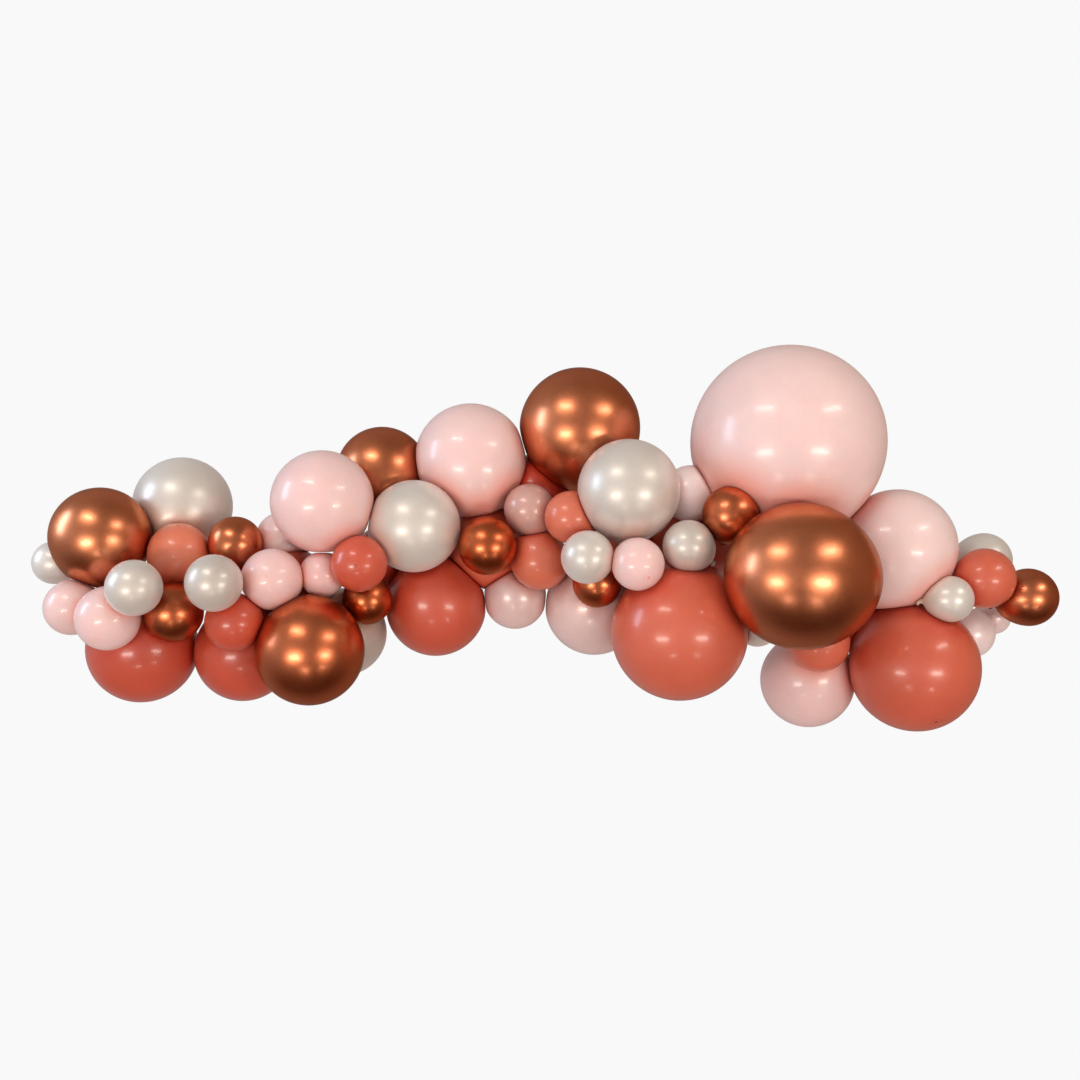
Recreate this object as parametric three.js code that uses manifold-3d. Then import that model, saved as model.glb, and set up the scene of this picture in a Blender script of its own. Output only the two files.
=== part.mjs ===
// An organic balloon garland for a wall: latex balloons of four sizes in five finishes, packed along a line.
// Millimetres, +Z up. The wall is the plane y = 0 and the garland hangs in front of it, towards -Y.
// The origin is the middle of the flat spot where copper_large_4, at the top of the garland, meets the wall.
import * as THREE from 'three';
import { mergeVertices } from 'three/addons/utils/BufferGeometryUtils.js';
import Module from 'manifold-3d';

// Width of each balloon size at its usual fill. A row of the garland says how full its own balloon is.
const SMALL = 124;
const LARGE = 236;
const JUMBO = 306;
const GIANT = 444;

// How hard balloons press: the distance between two centres as a share of the two radii together.
const PRESS = 0.95;
// The lightest touch that still holds two neighbours together, as the same share.
const TOUCH = 0.985;
// Distance from the wall to the centre of a balloon that lies against it, as a share of its radius.
const WALL_PRESS = 0.94;
const CONTACT_GAP = 0.3;

// Extra length of the neck half of a balloon, as a share of its radius.
const PEAR = 0.14;
// The neck and the rolled lip that is knotted, on a small balloon and on the larger ones.
const SMALL_NECK = { radius: 5, length: 9, knotRadius: 8, knotLength: 7 };
const LARGE_NECK = { radius: 8, length: 14, knotRadius: 12, knotLength: 10 };

// Places across and up are counted in steps of this length from the first balloon, on the wall's plane.
const GRID = 5;

// The line along which the balloons are tied: their necks point at it, deep inside the garland.
const CORE_DEPTH = 215;
const CORE_LINE = [
  [-226, -66], [-152, -77], [-82, -58], [-14, -43],
  [50, -54], [106, -66], [158, -86], [202, -82],
];
const CORE_STEPS = 60;

// Facets round a balloon and from its crown to its neck, by the width they are used from. Their corners stand
// this much outside the true round, and their middles lie about as much inside it.
const FACETS = [
  { from: 0, around: 8, along: 6 },
  { from: 160, around: 10, along: 7 },
  { from: 400, around: 14, along: 9 },
];
const CORNERS = 1.03;

// Points of a lathed mesh that lie closer than this are one point.
const SAME_POINT = 1e-4;

const FINISHES = {
  pink: { color: 0xf0c8c6, roughness: 0.3, metalness: 0 },
  blush: { color: 0xdebebe, roughness: 0.3, metalness: 0.2 },
  pearl: { color: 0xd7d0c8, roughness: 0.3, metalness: 0.3 },
  coral: { color: 0xcd6450, roughness: 0.3, metalness: 0 },
  copper: { color: 0xbe6441, roughness: 0.25, metalness: 1 },
};

const wasm = await Module();
wasm.setup();

const UP = new THREE.Vector3(0, 1, 0);
const coreKnots = CORE_LINE.map(([x, z]) => new THREE.Vector3(x * GRID, -CORE_DEPTH, z * GRID));
const corePath = new THREE.CatmullRomCurve3(coreKnots);
const corePoints = corePath.getSpacedPoints(CORE_STEPS);
const laid = new Map();

// Direction from a balloon's centre to the nearest point of the core line.
function towardsCore(centre) {
  const nearest = corePoints.reduce((a, b) => (b.distanceTo(centre) < a.distanceTo(centre) ? b : a));
  return nearest.clone().sub(centre);
}

// Lays one balloon. It keeps its place across and up, and its depth comes from pressing on the balloon it is
// tied to. Where that balloon is out of reach, it is drawn in sideways until the two touch.
function lay(name, finish, size, fill, [across, up], tiedTo, side, options = {}) {
  const radius = (size * fill) / 2;
  const wallDepth = radius * WALL_PRESS;
  const place = new THREE.Vector2(across, up).multiplyScalar(GRID);
  let depth = wallDepth;
  if (tiedTo) {
    const other = laid.get(tiedTo);
    const anchor = new THREE.Vector2(other.centre.x, other.centre.z);
    const otherDepth = -other.centre.y;
    const reach = radius + other.radius;
    const flat = place.distanceTo(anchor);
    const step = Math.sqrt(Math.max((reach * PRESS) ** 2 - flat ** 2, 0));
    if (side === 'front') depth = Math.max(otherDepth + step, wallDepth);
    if (side === 'behind') depth = Math.max(otherDepth - step, wallDepth);
    const limit = Math.sqrt(Math.max((reach * TOUCH) ** 2 - (otherDepth - depth) ** 2, 0));
    if (flat > limit) place.sub(anchor).setLength(limit).add(anchor);
  }
  const centre = new THREE.Vector3(place.x, -depth, place.y);
  const neckWay = options.neck ? new THREE.Vector3(...options.neck) : towardsCore(centre);
  const neck = size === SMALL ? SMALL_NECK : LARGE_NECK;
  const stretch = options.stretch ?? 1;
  laid.set(name, { name, finish, radius, centre, neckWay, neck, stretch });
}

// The middle of the garland, from the balloon on the wall outwards.
lay('copper_large_4', 'copper', LARGE, 1.22, [0, 0], null, 'wall', { neck: [0.1, 0.2, -1] });
lay('pink_large_2', 'pink', LARGE, 1.13, [-52, -15], 'copper_large_4', 'front');
lay('copper_large_3', 'copper', LARGE, 0.94, [-95, -21], 'pink_large_2', 'behind');
lay('pearl_large_3', 'pearl', LARGE, 0.9, [-77, -47], 'pink_large_2', 'front', { neck: [0, 1, -0.15] });
lay('pink_large_1', 'pink', LARGE, 0.99, [-118, -36], 'copper_large_3', 'front', { neck: [0.2, 1, -0.3] });
lay('coral_back_3', 'coral', LARGE, 0.87, [-44, -57], 'pink_large_2', 'wall');
lay('coral_large_3', 'coral', LARGE, 1.02, [-69, -85], 'coral_back_3', 'wall');
lay('coral_back_2', 'coral', LARGE, 0.66, [-95, -62], 'coral_large_3', 'wall');
lay('copper_small_4', 'copper', SMALL, 1.08, [-43, -56], 'coral_back_3', 'front');
lay('coral_small_3', 'coral', SMALL, 1.02, [-100, -64], 'pearl_large_3', 'front');
lay('coral_back_4', 'coral', LARGE, 0.74, [-21, -29], 'copper_large_4', 'wall');
lay('blush_small_2', 'blush', SMALL, 0.95, [-24, -39], 'coral_back_4', 'front');
lay('coral_small_5', 'coral', SMALL, 0.97, [-5, -43], 'blush_small_2', 'front', { neck: [0.7, 0.3, -0.6] });
lay('pearl_large_4', 'pearl', LARGE, 0.98, [21, -31], 'copper_large_4', 'front');
lay('blush_small_3', 'blush', SMALL, 1.08, [51, -32], 'pearl_large_4', 'behind', {
  neck: [0.7, 0.4, 0],
});

// The big balloons of the right half, and what fills the hollow between them.
lay('pink_giant', 'pink', GIANT, 1.01, [96, -8], 'blush_small_3', 'wall');
lay('coral_back_6', 'coral', LARGE, 0.9, [56, -54], 'pink_giant', 'wall');
lay('coral_back_5', 'coral', SMALL, 1.14, [23, -55], 'coral_back_6', 'wall');
lay('blush_large_1', 'blush', LARGE, 1, [7, -85], 'coral_back_5', 'wall');
lay('coral_large_4', 'coral', JUMBO, 1.01, [44, -95], 'blush_large_1', 'front');
lay('blush_small_1', 'blush', SMALL, 1.22, [-31, -81], 'coral_large_3', 'front');
lay('coral_small_4', 'coral', SMALL, 1.11, [-19, -63], 'blush_small_1', 'front');
lay('copper_small_5', 'copper', SMALL, 0.9, [7, -73], 'blush_large_1', 'front');
lay('pearl_small_4', 'pearl', SMALL, 0.95, [2, -61], 'copper_small_5', 'front');
lay('pink_small_6', 'pink', SMALL, 0.94, [24, -64], 'coral_large_4', 'front', { neck: [-0.34, 0.8, 0.49] });
lay('pearl_small_5', 'pearl', SMALL, 0.93, [47, -56], 'coral_large_4', 'front', {
  neck: [0.75, 0.4, -0.5],
});
lay('copper_giant', 'copper', JUMBO, 1.04, [94, -69], 'pink_giant', 'front', {
  neck: [0.8, 0.6, -0.1], stretch: 1.1,
});
lay('copper_small_6', 'copper', SMALL, 1.03, [66, -42], 'copper_giant', 'behind', {
  neck: [-0.1, 0.8, -0.9],
});
lay('pearl_small_6', 'pearl', SMALL, 0.81, [80, -92], 'copper_giant', 'behind');
lay('pink_large_3', 'pink', LARGE, 1.15, [147, -57], 'pink_giant', 'front');
lay('coral_large_5', 'coral', JUMBO, 0.97, [155, -113], 'pink_large_3', 'front', {
  neck: [-0.14, 0.62, 0.77],
});
lay('pink_large_4', 'pink', LARGE, 0.95, [110, -121], 'coral_large_5', 'wall');
lay('coral_small_6', 'coral', SMALL, 1.14, [109, -100], 'pink_large_4', 'front');
lay('coral_back_7', 'coral', LARGE, 0.78, [134, -90], 'pink_large_3', 'behind');

// The right tail.
lay('pearl_small_7', 'pearl', SMALL, 0.84, [166, -80], 'coral_large_5', 'front', { neck: [-1, 0.2, -0.1] });
lay('coral_small_7', 'coral', SMALL, 1.11, [185, -71], 'pearl_small_7', 'behind', {
  neck: [-0.9, 0.4, -0.3],
});
lay('pearl_small_8', 'pearl', SMALL, 1.04, [193, -63], 'coral_small_7', 'behind', { neck: [-1, 0.3, 0.1] });
lay('copper_small_7', 'copper', SMALL, 1.08, [208, -80], 'coral_small_7', 'behind', {
  neck: [-1, 0.2, -0.25],
});
lay('blush_small_4', 'blush', SMALL, 0.96, [187, -98], 'coral_large_5', 'behind', {
  neck: [-0.6, 0.7, 0.35],
});
lay('blush_small_5', 'blush', SMALL, 0.67, [202, -91], 'blush_small_4', 'behind', {
  neck: [-0.8, 0.6, 0.2],
});

// The left half, from the middle outwards.
lay('pink_small_5', 'pink', SMALL, 0.84, [-118, -69], 'pink_large_1', 'behind');
lay('pink_small_4', 'pink', SMALL, 1.05, [-140, -53], 'pink_large_1', 'behind');
lay('coral_back_1', 'coral', LARGE, 0.72, [-136, -74], 'pink_small_5', 'behind');
lay('coral_large_2', 'coral', LARGE, 0.97, [-158, -106], 'coral_back_1', 'behind');
lay('coral_large_1', 'coral', LARGE, 1.08, [-206, -104], 'coral_large_2', 'front');
lay('pearl_large_2', 'pearl', LARGE, 0.86, [-113, -98], 'coral_back_1', 'behind');
lay('copper_large_2', 'copper', LARGE, 1.03, [-122, -103], 'coral_large_2', 'front');
lay('copper_small_3', 'copper', SMALL, 0.93, [-99, -81], 'pearl_large_2', 'front');
lay('pink_small_3', 'pink', SMALL, 1.11, [-139, -71], 'copper_large_2', 'front');
lay('coral_small_2', 'coral', SMALL, 1.05, [-155, -90], 'coral_large_2', 'front');
lay('copper_small_2', 'copper', SMALL, 1, [-159, -55], 'pink_small_4', 'front');
lay('pearl_small_3', 'pearl', SMALL, 1, [-160, -72], 'coral_small_2', 'front');
lay('coral_small_1', 'coral', SMALL, 1.16, [-185, -60], 'copper_small_2', 'front');
lay('pearl_large_1', 'pearl', LARGE, 0.99, [-191, -37], 'coral_small_1', 'behind');
lay('copper_large_1', 'copper', LARGE, 0.96, [-220, -52], 'pearl_large_1', 'front');
lay('pearl_small_1', 'pearl', SMALL, 0.81, [-246, -64], 'copper_large_1', 'behind');
lay('copper_small_1', 'copper', SMALL, 1.08, [-184, -86], 'coral_large_1', 'front');
lay('pink_small_2', 'pink', SMALL, 1.14, [-210, -88], 'coral_large_1', 'front');
lay('pink_small_1', 'pink', SMALL, 1, [-231, -84], 'pink_small_2', 'behind');
lay('pearl_small_2', 'pearl', SMALL, 0.98, [-194, -74], 'pink_small_2', 'front');

// One whole balloon before it is pressed: round at the crown, a little pear-shaped towards its knotted neck.
function balloonGeometry({ radius, neck, stretch, neckWay, centre }) {
  const facets = FACETS.findLast((step) => radius * 2 >= step.from);
  const cornerRadius = radius * CORNERS;
  const profile = [new THREE.Vector2(0, cornerRadius * stretch)];
  for (let row = 1; row < facets.along; row++) {
    const angle = (Math.PI * row) / facets.along;
    const length = Math.cos(angle) * (Math.cos(angle) < 0 ? 1 + PEAR : 1) * stretch;
    profile.push(new THREE.Vector2(cornerRadius * Math.sin(angle), cornerRadius * length));
  }
  const neckTop = -radius * (1 + PEAR) * stretch;
  profile.push(new THREE.Vector2(neck.radius, neckTop - neck.length));
  profile.push(new THREE.Vector2(neck.knotRadius, neckTop - neck.length - neck.knotLength / 2));
  profile.push(new THREE.Vector2(0, neckTop - neck.length - neck.knotLength));
  const geometry = new THREE.LatheGeometry(profile.reverse(), facets.around);
  const turn = new THREE.Quaternion().setFromUnitVectors(UP, neckWay.clone().normalize().negate());
  geometry.applyQuaternion(turn);
  geometry.translate(centre.x, centre.y, centre.z);
  return geometry;
}

// A three.js geometry as a solid that can be cut.
function toSolid(geometry) {
  geometry.deleteAttribute('normal');
  geometry.deleteAttribute('uv');
  const merged = mergeVertices(geometry, SAME_POINT);
  const vertProperties = new Float32Array(merged.attributes.position.array);
  const triVerts = new Uint32Array(merged.index.array);
  return new wasm.Manifold(new wasm.Mesh({ numProp: 3, vertProperties, triVerts }));
}

function toGeometry(solid) {
  const mesh = solid.getMesh();
  const geometry = new THREE.BufferGeometry();
  geometry.setAttribute('position', new THREE.BufferAttribute(mesh.vertProperties, 3));
  geometry.setIndex(new THREE.BufferAttribute(mesh.triVerts, 1));
  geometry.computeVertexNormals();
  return geometry;
}

// The flat disc where two balloons press lies in the plane that has equal power over both rounds.
function pressAgainst(solid, balloon, other) {
  const way = other.centre.clone().sub(balloon.centre);
  const distance = way.length();
  way.normalize();
  const share = (distance ** 2 + balloon.radius ** 2 - other.radius ** 2) / (2 * distance);
  const offset = balloon.centre.dot(way) + share - CONTACT_GAP / 2;
  return solid.trimByPlane([-way.x, -way.y, -way.z], -offset);
}

function farthest({ radius, neck, stretch }) {
  return radius * (1 + PEAR) * stretch + neck.length + neck.knotLength;
}

// A balloon as it sits in the garland: flat where it meets its neighbours and the wall.
function pressedBalloon(balloon) {
  let solid = toSolid(balloonGeometry(balloon)).trimByPlane([0, -1, 0], 0);
  for (const other of laid.values()) {
    const near = balloon.centre.distanceTo(other.centre) < farthest(balloon) + farthest(other);
    if (other !== balloon && near) solid = pressAgainst(solid, balloon, other);
  }
  const pieces = solid.decompose();
  return pieces.reduce((a, b) => (b.volume() > a.volume() ? b : a));
}

const garland = new THREE.Group();
garland.name = 'balloon_garland';
for (const balloon of laid.values()) {
  const material = new THREE.MeshStandardMaterial(FINISHES[balloon.finish]);
  const mesh = new THREE.Mesh(toGeometry(pressedBalloon(balloon)), material);
  mesh.name = balloon.name;
  garland.add(mesh);
}

export default garland;
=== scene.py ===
import math

import bmesh
import bpy
import numpy as np
from mathutils import Matrix, Vector


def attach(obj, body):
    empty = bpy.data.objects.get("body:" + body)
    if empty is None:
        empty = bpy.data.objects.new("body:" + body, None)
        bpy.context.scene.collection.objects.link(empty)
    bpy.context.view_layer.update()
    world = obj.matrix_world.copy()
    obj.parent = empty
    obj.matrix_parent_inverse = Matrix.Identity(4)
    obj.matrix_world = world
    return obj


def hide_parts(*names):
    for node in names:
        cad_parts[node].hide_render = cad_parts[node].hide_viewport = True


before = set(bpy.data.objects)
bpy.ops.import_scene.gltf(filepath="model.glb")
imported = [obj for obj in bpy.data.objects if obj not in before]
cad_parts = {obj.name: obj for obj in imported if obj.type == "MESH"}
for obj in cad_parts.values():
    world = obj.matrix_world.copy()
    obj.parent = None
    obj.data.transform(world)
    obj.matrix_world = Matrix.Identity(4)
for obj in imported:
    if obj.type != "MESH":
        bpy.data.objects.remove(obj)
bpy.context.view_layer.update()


# The camera stands three metres in front of the wall, level, and looks straight at it. The photograph takes
# in about 48 degrees, which a 40 mm lens gives on a sensor 36 mm wide.
camera = bpy.data.objects.new("camera", bpy.data.cameras.new("camera"))
bpy.context.scene.collection.objects.link(camera)
camera.location = (-0.095, -3.0, -0.267)
camera.rotation_euler = (math.radians(90), 0, 0)
camera.data.lens = 40
camera.data.sensor_width = 36
camera.data.clip_end = 60
bpy.context.scene.camera = camera


# Pale pink balloons, the giant among them: one skin of milky pink latex each, blown round at the crown and a
# little pear-shaped towards the neck, whose rolled lip is tied in a knot. They hold each other by the flat
# places where they press, the neck turned in towards the line on which the garland is tied.

# The corners of a solid lie CORNERS_OUT times as far out as the skin. Each try lays a round through four of
# them and counts the corners within FIT_MISS of it. WIDEST_RADIUS is a share of the solid's longest side.
CORNERS_OUT = 1.03
FIT_TRIES = 4000
FIT_MISS = 2e-5
WIDEST_RADIUS = 0.6
TINY = 1e-6


def true_round(node, stretch=1.0, way=(0, 0, 1)):
    """Centre and radius of a balloon: the round on which most corners of its solid lie."""
    way = np.array(Vector(way).normalized())
    points = np.array([v.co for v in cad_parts[node].data.vertices])
    points = points - np.outer(points @ way * (1 - 1 / stretch), way)
    corners = np.unique(np.round(points, 6), axis=0)
    picks = corners[np.random.default_rng(1).integers(len(corners), size=(FIT_TRIES, 4))]
    edges = picks[:, 1:] - picks[:, :1]
    firm = abs(np.linalg.det(edges)) > TINY
    picks, edges = picks[firm], edges[firm]
    offsets = np.linalg.solve(edges, (edges**2).sum(2)[..., None] / 2)[..., 0]
    centres = picks[:, 0] + offsets
    radii = np.linalg.norm(offsets, axis=1)
    misses = abs(np.linalg.norm(corners[None] - centres[:, None], axis=2) - radii[:, None])
    votes = (misses < FIT_MISS).sum(1) * (radii < WIDEST_RADIUS * np.ptp(corners, axis=0).max())
    best = votes.argmax()
    centre = centres[best] + centres[best] @ way * (stretch - 1) * way
    return centre, radii[best] / CORNERS_OUT


# How far a balloon is drawn out, and which way.
STRETCHED = {"copper_giant": (1.1, (0.8, 0.6, -0.1))}
rounds = {name: true_round(name, *STRETCHED.get(name, ())) for name in sorted(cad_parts)}

# The line inside the garland at which the necks point, across and up, and the necks that turn another way.
CORE_DEPTH = 0.215
CORE_LINE = [
    (-1.13, -0.33), (-0.76, -0.385), (-0.41, -0.29), (-0.07, -0.215),
    (0.25, -0.27), (0.53, -0.33), (0.79, -0.43), (1.01, -0.41),
]
CORE_STEPS = 120
NECK_WAYS = {
    "copper_large_4": (0.1, 0.2, -1), "pearl_large_3": (0, 1, -0.15), "pink_large_1": (0.2, 1, -0.3),
    "coral_small_5": (0.7, 0.3, -0.6), "blush_small_3": (0.7, 0.4, 0), "pink_small_6": (-0.34, 0.8, 0.49),
    "pearl_small_5": (0.75, 0.4, -0.5), "copper_giant": (0.8, 0.6, -0.1), "copper_small_6": (-0.1, 0.8, -0.9),
    "coral_large_5": (-0.14, 0.62, 0.77), "pearl_small_7": (-1, 0.2, -0.1),
    "coral_small_7": (-0.9, 0.4, -0.3), "pearl_small_8": (-1, 0.3, 0.1), "copper_small_7": (-1, 0.2, -0.25),
    "blush_small_4": (-0.6, 0.7, 0.35), "blush_small_5": (-0.8, 0.6, 0.2),
}


def neck_way(node):
    """The way a balloon's neck points: its own, or else towards the nearest point of the core line."""
    if node in NECK_WAYS:
        return Vector(NECK_WAYS[node]).normalized()
    across = np.linspace(CORE_LINE[0][0], CORE_LINE[-1][0], CORE_STEPS)
    up = np.interp(across, *zip(*CORE_LINE))
    rays = np.c_[across, np.full(len(across), -CORE_DEPTH), up] - rounds[node][0]
    return Vector(rays[np.linalg.norm(rays, axis=1).argmin()]).normalized()


CONTACT_GAP = 0.0003
WALL_WAY = np.array([0.0, 1.0, 0.0])
NEIGHBOUR_REACH = 1.6


def flats_of(node):
    """The flat places of a balloon, as outward direction and distance from its centre."""
    centre, radius = rounds[node]
    found = [(WALL_WAY, -centre @ WALL_WAY)]
    for other, (place, size) in rounds.items():
        apart = np.linalg.norm(place - centre)
        if other != node and apart < NEIGHBOUR_REACH * (radius + size):
            share = (apart**2 + radius**2 - size**2) / (2 * apart)
            found.append(((place - centre) / apart, share - CONTACT_GAP / 2))
    return found


# The rings of a skin are given by their angle from the crown, in degrees, and the parts of its neck and knot
# as shares of the neck's length and of the two radii.
PEAR = 0.14
NECK_TAPER = 0.05
CROWN_RINGS = (0.0, 0.8, 1.6, 2.6, 4.0)
FIRST_WIDE_RING = 6.5
SHOULDER = 168
LEAST_RINGS = 30
RINGS_FOR_RADIUS = 110
THROAT_STEPS = (0.3, 0.6, 0.85, 1.0)
THROAT_SHARE = 0.6
COLLAR_SHARE = 0.4
LIP_RINGS = 7
LIP_MOUTH = 0.7
LIP_DIMPLE = 0.3


def outline(radius, neck):
    """Half the outline of a whole balloon, out from its axis and up it, from the crown down to the knot."""
    neck_radius, neck_length, knot_radius = neck
    rings = LEAST_RINGS + round(RINGS_FOR_RADIUS * radius)
    angles = list(CROWN_RINGS) + list(np.linspace(FIRST_WIDE_RING, SHOULDER, rings))
    line = []
    for angle in map(math.radians, angles):
        lower = max(-math.cos(angle), 0)
        out = radius * math.sin(angle) * (1 - NECK_TAPER * lower**2)
        line.append((out, radius * math.cos(angle) * (1 + PEAR * lower)))
    shoulder_out, shoulder_up = line[-1]
    throat = shoulder_up - THROAT_SHARE * neck_length
    for part in THROAT_STEPS:
        drawn_in = (neck_radius - shoulder_out) * math.sin(part * math.pi / 2)
        line.append((shoulder_out + drawn_in, shoulder_up + (throat - shoulder_up) * part))
    collar = throat - COLLAR_SHARE * neck_length
    for angle in np.linspace(0, math.pi, LIP_RINGS)[:-1]:
        lip_out = neck_radius + (knot_radius - neck_radius) * math.sin(angle)
        line.append((lip_out, collar - knot_radius * (1 - math.cos(angle)) / 2))
    line.append((neck_radius * LIP_MOUTH, collar - knot_radius))
    line.append((0, line[-1][1] + LIP_DIMPLE * knot_radius))
    return line


# Radius and length of the neck, and radius of the knot.
SMALL_NECK = (0.005, 0.009, 0.008)
LARGE_NECK = (0.008, 0.014, 0.012)
SMALL_RADIUS = 0.075
SMALL_SPIN = 64
LARGE_SPIN = 112
RIM = 0.045
NO_FLAT = 1e3
FAR_OFF = 10.0
# How far from a contact the painted warm shade and glow reaches: a fixed edge and a share of the radius.
CONTACT_SHADE_EDGE = 0.012
CONTACT_SHADE_REACH = 0.2


def balloon(node, paint, fullness, crown_mark):
    """One balloon in place: its lathed skin with neck and knot, pressed flat where it touches."""
    centre, radius = rounds[node]
    stretch = STRETCHED.get(node, (1.0,))[0]
    small = "small" in node or radius < SMALL_RADIUS
    skin = bmesh.new()
    from_crown = skin.verts.layers.float.new("from_crown")
    to_knot = skin.verts.layers.float.new("to_knot")
    before = None
    walked = 0
    for out, up in outline(radius, SMALL_NECK if small else LARGE_NECK):
        vert = skin.verts.new((out, 0, up * stretch))
        if before:
            walked += (vert.co - before.co).length
            skin.edges.new((before, vert))
        vert[from_crown] = walked
        before = vert
    for vert in skin.verts:
        vert[to_knot] = walked - vert[from_crown]
    bmesh.ops.spin(skin, geom=skin.verts[:] + skin.edges[:], cent=(0, 0, 0), axis=(0, 0, 1),
                   angle=math.tau, steps=SMALL_SPIN if small else LARGE_SPIN, use_merge=True)
    bmesh.ops.remove_doubles(skin, verts=skin.verts, dist=TINY)
    bmesh.ops.recalc_face_normals(skin, faces=skin.faces)
    turn = Vector((0, 0, -1)).rotation_difference(neck_way(node)).to_matrix().to_4x4()
    bmesh.ops.transform(skin, verts=skin.verts, matrix=Matrix.Translation(centre) @ turn)
    mesh = bpy.data.meshes.new(node + "_skin")
    skin.to_mesh(mesh)
    skin.free()

    # Each point slides along its own ray to the nearest flat place, with the rim of that place left rounded.
    rays = np.empty(len(mesh.vertices) * 3, np.float32)
    mesh.vertices.foreach_get("co", rays)
    rays = rays.reshape(-1, 3).astype(float) - centre
    share = np.ones(len(rays))
    nearest = np.full(len(rays), FAR_OFF)
    for normal, distance in flats_of(node):
        towards = rays @ normal
        flat = np.where(towards > TINY, distance / np.maximum(towards, TINY), NO_FLAT)
        blend = np.clip(1 - abs(share - flat) / RIM, 0, 1)
        share = np.minimum(share, flat) - blend**2 * RIM / 4
        if normal is not WALL_WAY:
            nearest = np.minimum(nearest, (flat - 1) * radius)
    mesh.vertices.foreach_set("co", (centre + rays * share[:, None]).astype(np.float32).ravel())
    # The mask of the painted contact shade and glow: 1 at and inside a contact, fading to 0 farther away.
    contact_shade = np.clip(1 - nearest / (CONTACT_SHADE_EDGE + CONTACT_SHADE_REACH * radius), 0, 1)
    for name, level in (("contact_shade", contact_shade), ("fullness", fullness), ("crown_mark", crown_mark)):
        layer = mesh.attributes.new(name, "FLOAT", "POINT")
        layer.data.foreach_set("value", np.full(len(rays), level, np.float32))
    mesh.polygons.foreach_set("use_smooth", [True] * len(mesh.polygons))
    mesh.materials.append(paint)
    mesh.update()
    piece = bpy.data.objects.new(node + "_balloon", mesh)
    bpy.context.scene.collection.objects.link(piece)
    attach(piece, "root")
    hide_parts(node)


def add(tree, kind, fed=None, **settings):
    """Adds a node. What it is fed is a value for each socket, or the socket of another node to link."""
    made = tree.nodes.new(kind)
    for name, value in settings.items():
        setattr(made, name, value)
    for socket, value in (fed or {}).items():
        if isinstance(value, bpy.types.NodeSocket):
            tree.links.new(value, made.inputs[socket])
        else:
            made.inputs[socket].default_value = value
    return made


def effect(name, takes, gives):
    """An empty node group with named sockets, and its two ends."""
    tree = bpy.data.node_groups.new(name, "ShaderNodeTree")
    for label, kind, value in takes:
        socket = tree.interface.new_socket(label, in_out="INPUT", socket_type="NodeSocket" + kind)
        socket.default_value = value
    for label, kind in gives:
        tree.interface.new_socket(label, in_out="OUTPUT", socket_type="NodeSocket" + kind)
    return tree, tree.nodes.new("NodeGroupInput").outputs, tree.nodes.new("NodeGroupOutput")


# Blown latex as light meets it: full balloons are thin and pale, slack ones dense and deep. The film is thick
# in a small spot at the crown and again at the neck, and a little cloudy in between. Where skins press, a
# warm painted shade and glow stands for the light that bounces and passes between them.
film, given, ends = effect(
    "blown_latex",
    [("Slack Colour", "Color", (0.8, 0.4, 0.4, 1)), ("Full Colour", "Color", (0.9, 0.6, 0.6, 1)),
     ("Thick Colour", "Color", (0.5, 0.1, 0.1, 1)), ("Squeezed Colour", "Color", (0.5, 0.1, 0.1, 1)),
     ("Squeezed Amount", "Float", 0.6), ("Cloud Amount", "Float", 0.06), ("Roughness", "Float", 0.25),
     ("Bloom Amount", "Float", 0.06), ("Crown Spot", "Float", 0.0055)],
    [("Colour", "Color"), ("Roughness", "Float"), ("Height", "Float")])
place = add(film, "ShaderNodeTexCoord").outputs["Object"]
crown_way = add(film, "ShaderNodeAttribute", attribute_name="from_crown").outputs["Fac"]
knot_way = add(film, "ShaderNodeAttribute", attribute_name="to_knot").outputs["Fac"]
marked = add(film, "ShaderNodeAttribute", attribute_name="crown_mark").outputs["Fac"]
full = add(film, "ShaderNodeAttribute", attribute_name="fullness").outputs["Fac"]
press = add(film, "ShaderNodeAttribute", attribute_name="contact_shade").outputs["Fac"]
clouds = add(film, "ShaderNodeTexNoise", {"Vector": place, "Scale": 14.0, "Detail": 3.0, "Roughness": 0.55})
flecks = add(film, "ShaderNodeTexNoise", {"Vector": place, "Scale": 120.0, "Detail": 2.0, "Roughness": 0.5})
grain = add(film, "ShaderNodeTexNoise", {"Vector": place, "Scale": 1500.0, "Detail": 1.0})
body = add(film, "ShaderNodeMix", {0: full, 6: given["Slack Colour"], 7: given["Full Colour"]},
           data_type="RGBA")
cloud_level = add(film, "ShaderNodeMapRange", {
    "Value": clouds.outputs["Fac"], "From Min": 0.3, "From Max": 0.7, "To Min": -0.5, "To Max": 0.5})
fleck_level = add(film, "ShaderNodeMapRange", {
    "Value": flecks.outputs["Fac"], "From Min": 0.3, "From Max": 0.7, "To Min": -0.25, "To Max": 0.25})
mottle = add(film, "ShaderNodeMath", {0: cloud_level.outputs[0], 1: fleck_level.outputs[0]}, operation="ADD")
shade = add(film, "ShaderNodeMath", {0: mottle.outputs[0], 1: given["Cloud Amount"], 2: 1.0},
            operation="MULTIPLY_ADD")
mottled = add(film, "ShaderNodeVectorMath", {0: body.outputs[2], "Scale": shade.outputs[0]},
              operation="SCALE")

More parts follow.
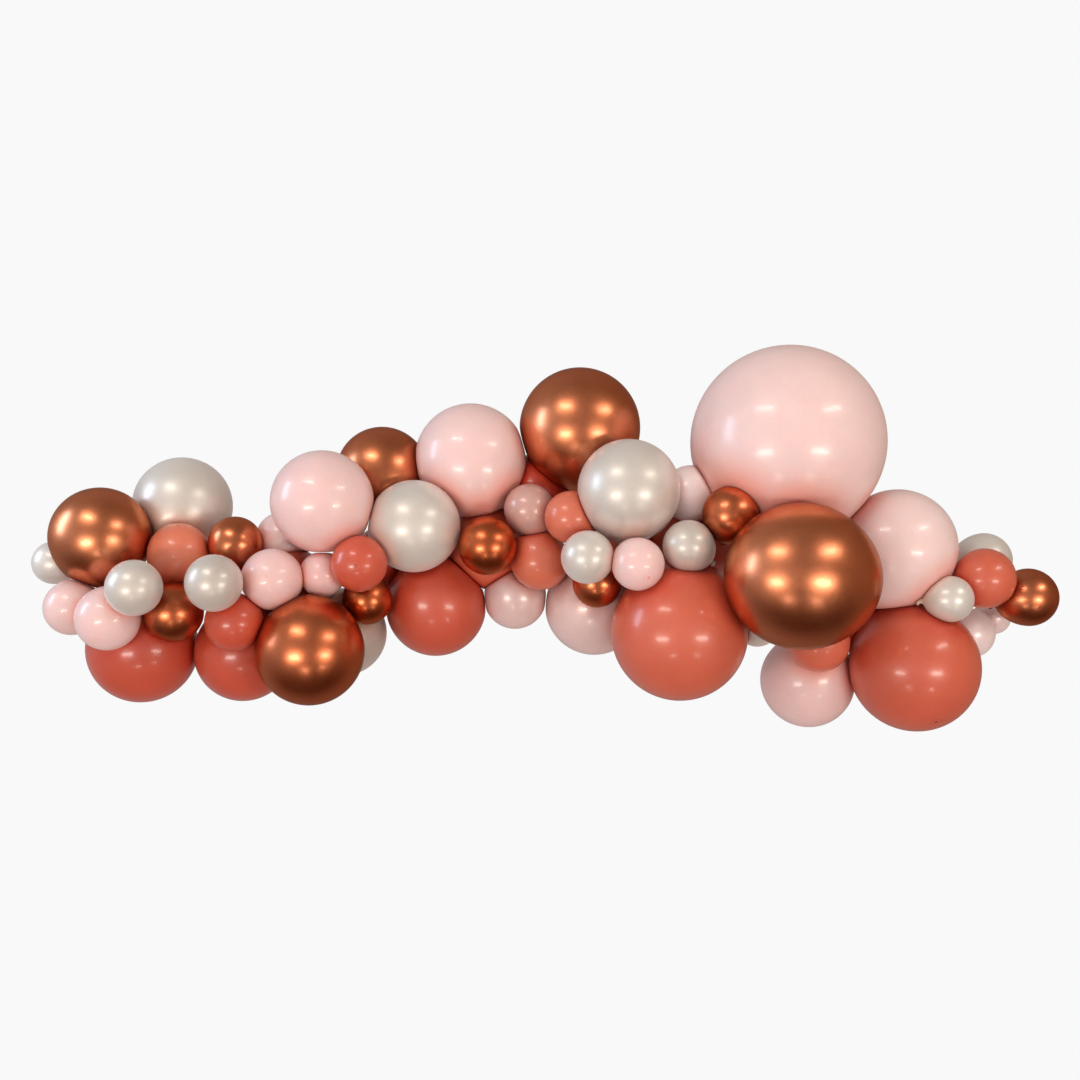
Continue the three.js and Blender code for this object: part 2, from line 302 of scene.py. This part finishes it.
# The crown's thick spot, a fainter ring round it, and the thick film of the neck. SPOT_CORE and RING_AT are
# shares of the spot's radius, and RING_HALF is half the ring's width in metres.
SPOT_CORE = 0.55
RING_AT = 2.2
RING_HALF = 0.0016
RING_DENSITY = 0.45
NECK_DENSITY = 0.85
spot_edge = add(film, "ShaderNodeMath", {0: given["Crown Spot"], 1: SPOT_CORE}, operation="MULTIPLY")
spot = add(film, "ShaderNodeMapRange", {
    "Value": crown_way, "From Min": spot_edge.outputs[0], "From Max": given["Crown Spot"],
    "To Min": 1.0, "To Max": 0.0}, interpolation_type="SMOOTHSTEP")
ring_off = add(film, "ShaderNodeMath", {0: given["Crown Spot"], 1: -RING_AT, 2: crown_way},
               operation="MULTIPLY_ADD")
ring_miss = add(film, "ShaderNodeMath", {0: ring_off.outputs[0]}, operation="ABSOLUTE")
ring = add(film, "ShaderNodeMapRange", {
    "Value": ring_miss.outputs[0], "From Min": 0.0, "From Max": RING_HALF,
    "To Min": RING_DENSITY, "To Max": 0.0}, interpolation_type="SMOOTHSTEP")
crown = add(film, "ShaderNodeMath", {0: spot.outputs[0], 1: ring.outputs[0]}, operation="MAXIMUM")
crown_dense = add(film, "ShaderNodeMath", {0: crown.outputs[0], 1: marked}, operation="MULTIPLY")
neck_dense = add(film, "ShaderNodeMapRange", {
    "Value": knot_way, "From Min": 0.02, "From Max": 0.075,
    "To Min": NECK_DENSITY, "To Max": 0.0}, interpolation_type="SMOOTHSTEP")
dense = add(film, "ShaderNodeMath", {0: crown_dense.outputs[0], 1: neck_dense.outputs[0]},
            operation="MAXIMUM")
thick = add(film, "ShaderNodeMix", {0: dense.outputs[0], 6: mottled.outputs[0], 7: given["Thick Colour"]},
            data_type="RGBA")

# A painted warm shade and glow gathers close to a contact, for the light that bounces and passes between
# skins. Dense film is duller, and the crown's spot stands out a little.
CONTACT_SHADE_FALLOFF = 1.8
DENSE_DULLING = 0.2
GRAIN_SHARE = 0.05
CROWN_RELIEF = 6.0
# Painted contact shade and glow: the contact mask, sharpened, mixes the warm contact colour into the body.
contact_shade_curve = add(film, "ShaderNodeMath", {0: press, 1: CONTACT_SHADE_FALLOFF}, operation="POWER")
contact_shade_level = add(film, "ShaderNodeMath", {0: contact_shade_curve.outputs[0], 1: given["Squeezed Amount"]},
                  operation="MULTIPLY")
contact_shaded = add(film, "ShaderNodeMix", {
    0: contact_shade_level.outputs[0], 6: thick.outputs[2], 7: given["Squeezed Colour"]}, data_type="RGBA")
bloom = add(film, "ShaderNodeMath", {0: mottle.outputs[0], 1: given["Bloom Amount"], 2: given["Roughness"]},
            operation="MULTIPLY_ADD")
dull = add(film, "ShaderNodeMath", {0: dense.outputs[0], 1: DENSE_DULLING, 2: bloom.outputs[0]},
           operation="MULTIPLY_ADD", use_clamp=True)
relief = add(film, "ShaderNodeMath", {0: grain.outputs["Fac"], 1: GRAIN_SHARE, 2: flecks.outputs["Fac"]},
             operation="MULTIPLY_ADD")
raised = add(film, "ShaderNodeMath", {0: crown_dense.outputs[0], 1: CROWN_RELIEF, 2: relief.outputs[0]},
             operation="MULTIPLY_ADD")
film.links.new(contact_shaded.outputs[2], ends.inputs["Colour"])
film.links.new(dull.outputs[0], ends.inputs["Roughness"])
film.links.new(raised.outputs[0], ends.inputs["Height"])

RELIEF_HEIGHT = 0.00001


def latex(name, looks, **shader_values):
    """A balloon's material: blown latex with its own colours, on a shader with its own gloss."""
    paint = bpy.data.materials.new(name)
    paint.use_nodes = True
    tree = paint.node_tree
    shader = tree.nodes["Principled BSDF"]
    skin = tree.nodes.new("ShaderNodeGroup")
    skin.node_tree = film
    for label, value in looks.items():
        skin.inputs[label].default_value = (*value, 1) if isinstance(value, tuple) else value
    bump = add(tree, "ShaderNodeBump", {
        "Strength": 1.0, "Distance": RELIEF_HEIGHT, "Height": skin.outputs["Height"]})
    tree.links.new(skin.outputs["Colour"], shader.inputs["Base Color"])
    tree.links.new(skin.outputs["Roughness"], shader.inputs["Roughness"])
    tree.links.new(bump.outputs["Normal"], shader.inputs["Normal"])
    for label, value in shader_values.items():
        shader.inputs[label.replace("_", " ")].default_value = value
    return paint


# In every latex below, the contact colour and amount give a painted shade and glow where balloons press, not
# a colour of the latex itself.
pink_latex = latex(
    "pink_latex",
    {"Slack Colour": (0.67, 0.395, 0.385), "Full Colour": (0.76, 0.575, 0.555),
     "Thick Colour": (0.78, 0.30, 0.30), "Squeezed Colour": (0.78, 0.28, 0.21), "Squeezed Amount": 0.75,
     "Cloud Amount": 0.05, "Roughness": 0.36, "Bloom Amount": 0.05},
    Metallic=0.0, IOR=1.5, Subsurface_Weight=0.4, Subsurface_Radius=(1.0, 0.35, 0.25),
    Subsurface_Scale=0.04, Coat_Weight=0.45, Coat_Roughness=0.15, Sheen_Weight=0.08)
PINK_FULLNESS = {
    "pink_giant": 0.8,
    "pink_large_1": 0.65, "pink_large_2": 0.7, "pink_large_3": 0.95, "pink_large_4": 0.6,
    "pink_small_1": 0.7, "pink_small_2": 0.65, "pink_small_3": 0.5, "pink_small_4": 0.8, "pink_small_5": 0.35,
    "pink_small_6": 0.6,
}
for node, fullness in PINK_FULLNESS.items():
    balloon(node, pink_latex, fullness, 1.0 if node == "pink_small_6" else 0.2)


# Blush balloons: pink latex with a fine pearl pigment in it, which gives a dusty satin sheen. Blown and tied
# as the pink ones are.
blush_latex = latex(
    "blush_latex",
    {"Slack Colour": (0.54, 0.31, 0.27), "Full Colour": (0.96, 0.80, 0.79),
     "Thick Colour": (0.60, 0.22, 0.18), "Squeezed Colour": (0.50, 0.16, 0.11), "Squeezed Amount": 0.6,
     "Cloud Amount": 0.06, "Roughness": 0.34, "Bloom Amount": 0.05},
    Metallic=0.15, Coat_Weight=0.5, Coat_Roughness=0.15, Sheen_Weight=0.1)
BLUSH_FULLNESS = {
    "blush_large_1": 0.5,
    "blush_small_1": 0.4, "blush_small_2": 0.0, "blush_small_3": 1.0, "blush_small_4": 1.0,
    "blush_small_5": 0.8,
}
for node, fullness in BLUSH_FULLNESS.items():
    balloon(node, blush_latex, fullness, 0.2)


# Pearl balloons: white latex full of mica flakes, blown and tied as the pink ones are. The flakes lie in the
# skin and spread each highlight into a soft white cloud over a warm grey body.
pearl_latex = latex(
    "pearl_latex",
    {"Slack Colour": (0.49, 0.42, 0.37), "Full Colour": (0.74, 0.71, 0.66),
     "Thick Colour": (0.60, 0.48, 0.38), "Squeezed Colour": (0.62, 0.33, 0.23), "Squeezed Amount": 0.6,
     "Cloud Amount": 0.05, "Roughness": 0.42, "Bloom Amount": 0.05},
    Metallic=0.35, Coat_Weight=0.9, Coat_Roughness=0.25, Sheen_Weight=0.3, Sheen_Roughness=0.5)
PEARL_FULLNESS = {
    "pearl_large_1": 0.65, "pearl_large_2": 0.2, "pearl_large_3": 0.65, "pearl_large_4": 0.55,
    "pearl_small_1": 0.95, "pearl_small_2": 0.5, "pearl_small_3": 0.35, "pearl_small_4": 0.6,
    "pearl_small_5": 0.4, "pearl_small_6": 0.6, "pearl_small_7": 0.75, "pearl_small_8": 0.7,
}
for node, fullness in PEARL_FULLNESS.items():
    balloon(node, pearl_latex, fullness, 0.2)


# Coral balloons: plain opaque coral latex with a wet gloss, blown and tied as the pink ones are. The seven
# named back lie behind the others and fill the hollows between them, so that no wall shows through.
coral_latex = latex(
    "coral_latex",
    {"Slack Colour": (0.460, 0.037, 0.0145), "Full Colour": (0.685, 0.217, 0.125),
     "Thick Colour": (0.30, 0.02, 0.012), "Squeezed Colour": (0.5, 0.03, 0.01), "Squeezed Amount": 0.6,
     "Cloud Amount": 0.06, "Roughness": 0.38, "Bloom Amount": 0.05},
    Metallic=0.0, IOR=1.5, Subsurface_Weight=0.3, Subsurface_Radius=(1.0, 0.25, 0.15),
    Subsurface_Scale=0.03, Coat_Weight=0.5, Coat_Roughness=0.17)
CORAL_FULLNESS = {
    "coral_large_1": 0.2, "coral_large_2": 0.2, "coral_large_3": 0.25, "coral_large_4": 0.4,
    "coral_large_5": 0.35,
    "coral_small_1": 0.8, "coral_small_2": 0.2, "coral_small_3": 0.25, "coral_small_4": 0.6,
    "coral_small_5": 0.65, "coral_small_6": 0.45, "coral_small_7": 0.4,
    "coral_back_1": 0.5, "coral_back_2": 0.0, "coral_back_3": 0.5, "coral_back_4": 0.0, "coral_back_5": 0.5,
    "coral_back_6": 0.5, "coral_back_7": 0.0,
}
CORAL_CROWNS = {"coral_large_5": 1.0, "coral_small_3": 0.6}
for node, fullness in CORAL_FULLNESS.items():
    balloon(node, coral_latex, fullness, CORAL_CROWNS.get(node, 0.2))


# Copper balloons: latex with a bright metal pigment, like a soft mirror, blown and tied as the pink ones are.
# The skin shows the lamps as warm clouds and the dark floor as a brown band, and a clear coat on it keeps a
# sharper gleam.
copper_latex = latex(
    "copper_latex",
    {"Slack Colour": (0.69, 0.15, 0.047), "Full Colour": (0.82, 0.29, 0.14),
     "Thick Colour": (0.40, 0.10, 0.04), "Squeezed Colour": (0.32, 0.11, 0.05), "Squeezed Amount": 0.7,
     "Cloud Amount": 0.08, "Roughness": 0.33, "Bloom Amount": 0.05},
    Metallic=1.0, Specular_Tint=(0.42, 0.34, 0.28, 1), Coat_Weight=0.3, Coat_Roughness=0.18)
COPPER_FULLNESS = {
    "copper_giant": 0.85,
    "copper_large_1": 0.9, "copper_large_2": 0.45, "copper_large_3": 0.7, "copper_large_4": 0.8,
    "copper_small_1": 0.3, "copper_small_2": 0.6, "copper_small_3": 0.1, "copper_small_4": 0.1,
    "copper_small_5": 0.3, "copper_small_6": 0.4, "copper_small_7": 0.6,
}
for node, fullness in COPPER_FULLNESS.items():
    balloon(node, copper_latex, fullness, 0.15)


# The pale studio floor: a round white sheet laid flat well below the garland. It neither lights the balloons
# nor shows in them.
FLOOR_DROP = 2.7
FLOOR_RADIUS = 4.2


def ramp(tree, level, low, high):
    """A colour ramp from a low colour to a high one."""
    made = add(tree, "ShaderNodeValToRGB", {"Fac": level})
    made.color_ramp.elements[0].color = (*low, 1)
    made.color_ramp.elements[1].color = (*high, 1)
    return made


floor_mesh = bmesh.new()
bmesh.ops.create_circle(floor_mesh, cap_ends=True, segments=96, radius=FLOOR_RADIUS)
bmesh.ops.translate(floor_mesh, verts=floor_mesh.verts, vec=(0, -3.0, -FLOOR_DROP))
floor = bpy.data.objects.new("studio_floor", bpy.data.meshes.new("studio_floor"))
floor_mesh.to_mesh(floor.data)
floor_mesh.free()
bpy.context.scene.collection.objects.link(floor)
floor_paint = bpy.data.materials.new("studio_floor_paint")
floor_paint.use_nodes = True
floor_tree = floor_paint.node_tree
floor_shader = floor_tree.nodes["Principled BSDF"]
floor_place = add(floor_tree, "ShaderNodeTexCoord").outputs["Object"]
floor_cloud = add(floor_tree, "ShaderNodeTexNoise", {"Vector": floor_place, "Scale": 3.0, "Detail": 4.0})
floor_tone = ramp(floor_tree, floor_cloud.outputs["Fac"], (0.86, 0.86, 0.86), (0.92, 0.92, 0.92))
floor_tree.links.new(floor_tone.outputs["Color"], floor_shader.inputs["Base Color"])
floor_shader.inputs["Roughness"].default_value = 0.8
floor.data.materials.append(floor_paint)
floor.visible_glossy = False
floor.visible_diffuse = False


# The room round the garland. The balloons mirror a dim warm floor, a lighter ceiling and a grey wall behind
# them, all cooler on the left and darker on the right. The light that falls on them is soft, as in a white
# tent, and stronger from below. The camera sees a plain pale ground.
world = bpy.data.worlds.new("studio")
bpy.context.scene.world = world
world.use_nodes = True
room = world.node_tree
room.nodes.clear()
sight = add(room, "ShaderNodeTexCoord").outputs["Generated"]
split = add(room, "ShaderNodeSeparateXYZ", {0: sight})
height = add(room, "ShaderNodeMapRange", {"Value": split.outputs["Z"], "From Min": -1.0, "From Max": 1.0})
levels = ramp(room, height.outputs[0], (0.085, 0.035, 0.02), (0.28, 0.23, 0.18))
levels.color_ramp.elements[0].position = 0.12
levels.color_ramp.elements.new(0.5).color = (0.42, 0.34, 0.30, 1)
behind = add(room, "ShaderNodeMapRange", {"Value": split.outputs["Y"], "From Min": 0.0, "From Max": 0.7})
seen = add(room, "ShaderNodeMix", {
    0: behind.outputs[0], 6: levels.outputs["Color"], 7: (0.44, 0.34, 0.30, 1)}, data_type="RGBA")
to_right = add(room, "ShaderNodeMapRange", {"Value": split.outputs["X"], "From Min": -0.8, "From Max": 0.9})
side_tone = ramp(room, to_right.outputs[0], (1.0, 1.15, 1.35), (0.58, 0.45, 0.34))
toned = add(room, "ShaderNodeVectorMath", {0: seen.outputs[2], 1: side_tone.outputs["Color"]},
            operation="MULTIPLY")
mirror = add(room, "ShaderNodeBackground", {"Color": toned.outputs[0], "Strength": 1.0})
tent_levels = ramp(room, height.outputs[0], (0.84, 0.73, 0.70), (0.41, 0.41, 0.41))
tent_side = ramp(room, to_right.outputs[0], (1.0, 1.03, 1.06), (0.97, 0.88, 0.82))
tented = add(room, "ShaderNodeVectorMath", {0: tent_levels.outputs["Color"], 1: tent_side.outputs["Color"]},
             operation="MULTIPLY")
tent = add(room, "ShaderNodeBackground", {"Color": tented.outputs[0], "Strength": 1.0})
ground = add(room, "ShaderNodeBackground", {"Color": (0.947, 0.947, 0.947, 1), "Strength": 1.0})
ray = add(room, "ShaderNodeLightPath")
gloss = add(room, "ShaderNodeMixShader", {
    0: ray.outputs["Is Glossy Ray"], 1: tent.outputs[0], 2: mirror.outputs[0]})
choose = add(room, "ShaderNodeMixShader", {
    0: ray.outputs["Is Camera Ray"], 1: gloss.outputs[0], 2: ground.outputs[0]})
add(room, "ShaderNodeOutputWorld", {"Surface": choose.outputs[0]})


# The lamps: light bars above and below on both sides, one bar over the garland, a cool window far to the
# left, and a wide soft light from the front. The balloons mirror all but the bar on top and the front light.
WARM = (1.0, 0.93, 0.83)
COOL = (0.6, 0.78, 1.0)
NEUTRAL = (1.0, 0.98, 0.96)
LAMPS_AIM = (0, 0, -0.3)


def lamp(name, place, size, strength, colour, mirrored=True):
    """A soft lamp that shines at the garland. Its strength is for each square metre of it."""
    light = bpy.data.lights.new(name, "AREA")
    light.shape = "RECTANGLE"
    light.size, light.size_y = size
    light.energy = strength * math.pi * size[0] * size[1]
    light.color = colour
    holder = bpy.data.objects.new(name, light)
    bpy.context.scene.collection.objects.link(holder)
    holder.location = place
    holder.rotation_euler = (Vector(LAMPS_AIM) - Vector(place)).to_track_quat("-Z", "Y").to_euler()
    holder.visible_camera = False
    holder.visible_glossy = mirrored


lamp("bar_upper_left", (-1.8, -3.0, 2.4), (1.5, 0.3), 22, WARM)
lamp("bar_upper_right", (3.3, -3.0, 2.3), (1.7, 0.3), 22, WARM)
lamp("bar_middle_left", (-1.6, -3.0, -0.9), (1.1, 0.32), 22, WARM)
lamp("bar_middle_right", (1.8, -3.0, -0.8), (1.1, 0.32), 22, WARM)
lamp("bar_low_left", (-0.63, -3.0, -2.4), (0.5, 0.25), 11, WARM)
lamp("bar_low_right", (1.55, -3.0, -2.38), (0.5, 0.25), 11, WARM)
lamp("bar_top", (0.2, -1.6, 3.2), (2.4, 0.5), 6, WARM, mirrored=False)
lamp("window_left", (-3.6, -0.8, 0.8), (0.8, 1.6), 9, COOL)
lamp("front_fill", (0, -3.8, -0.3), (2.4, 1.6), 1.15, NEUTRAL, mirrored=False)
bpy.context.scene.view_settings.view_transform = "Standard"
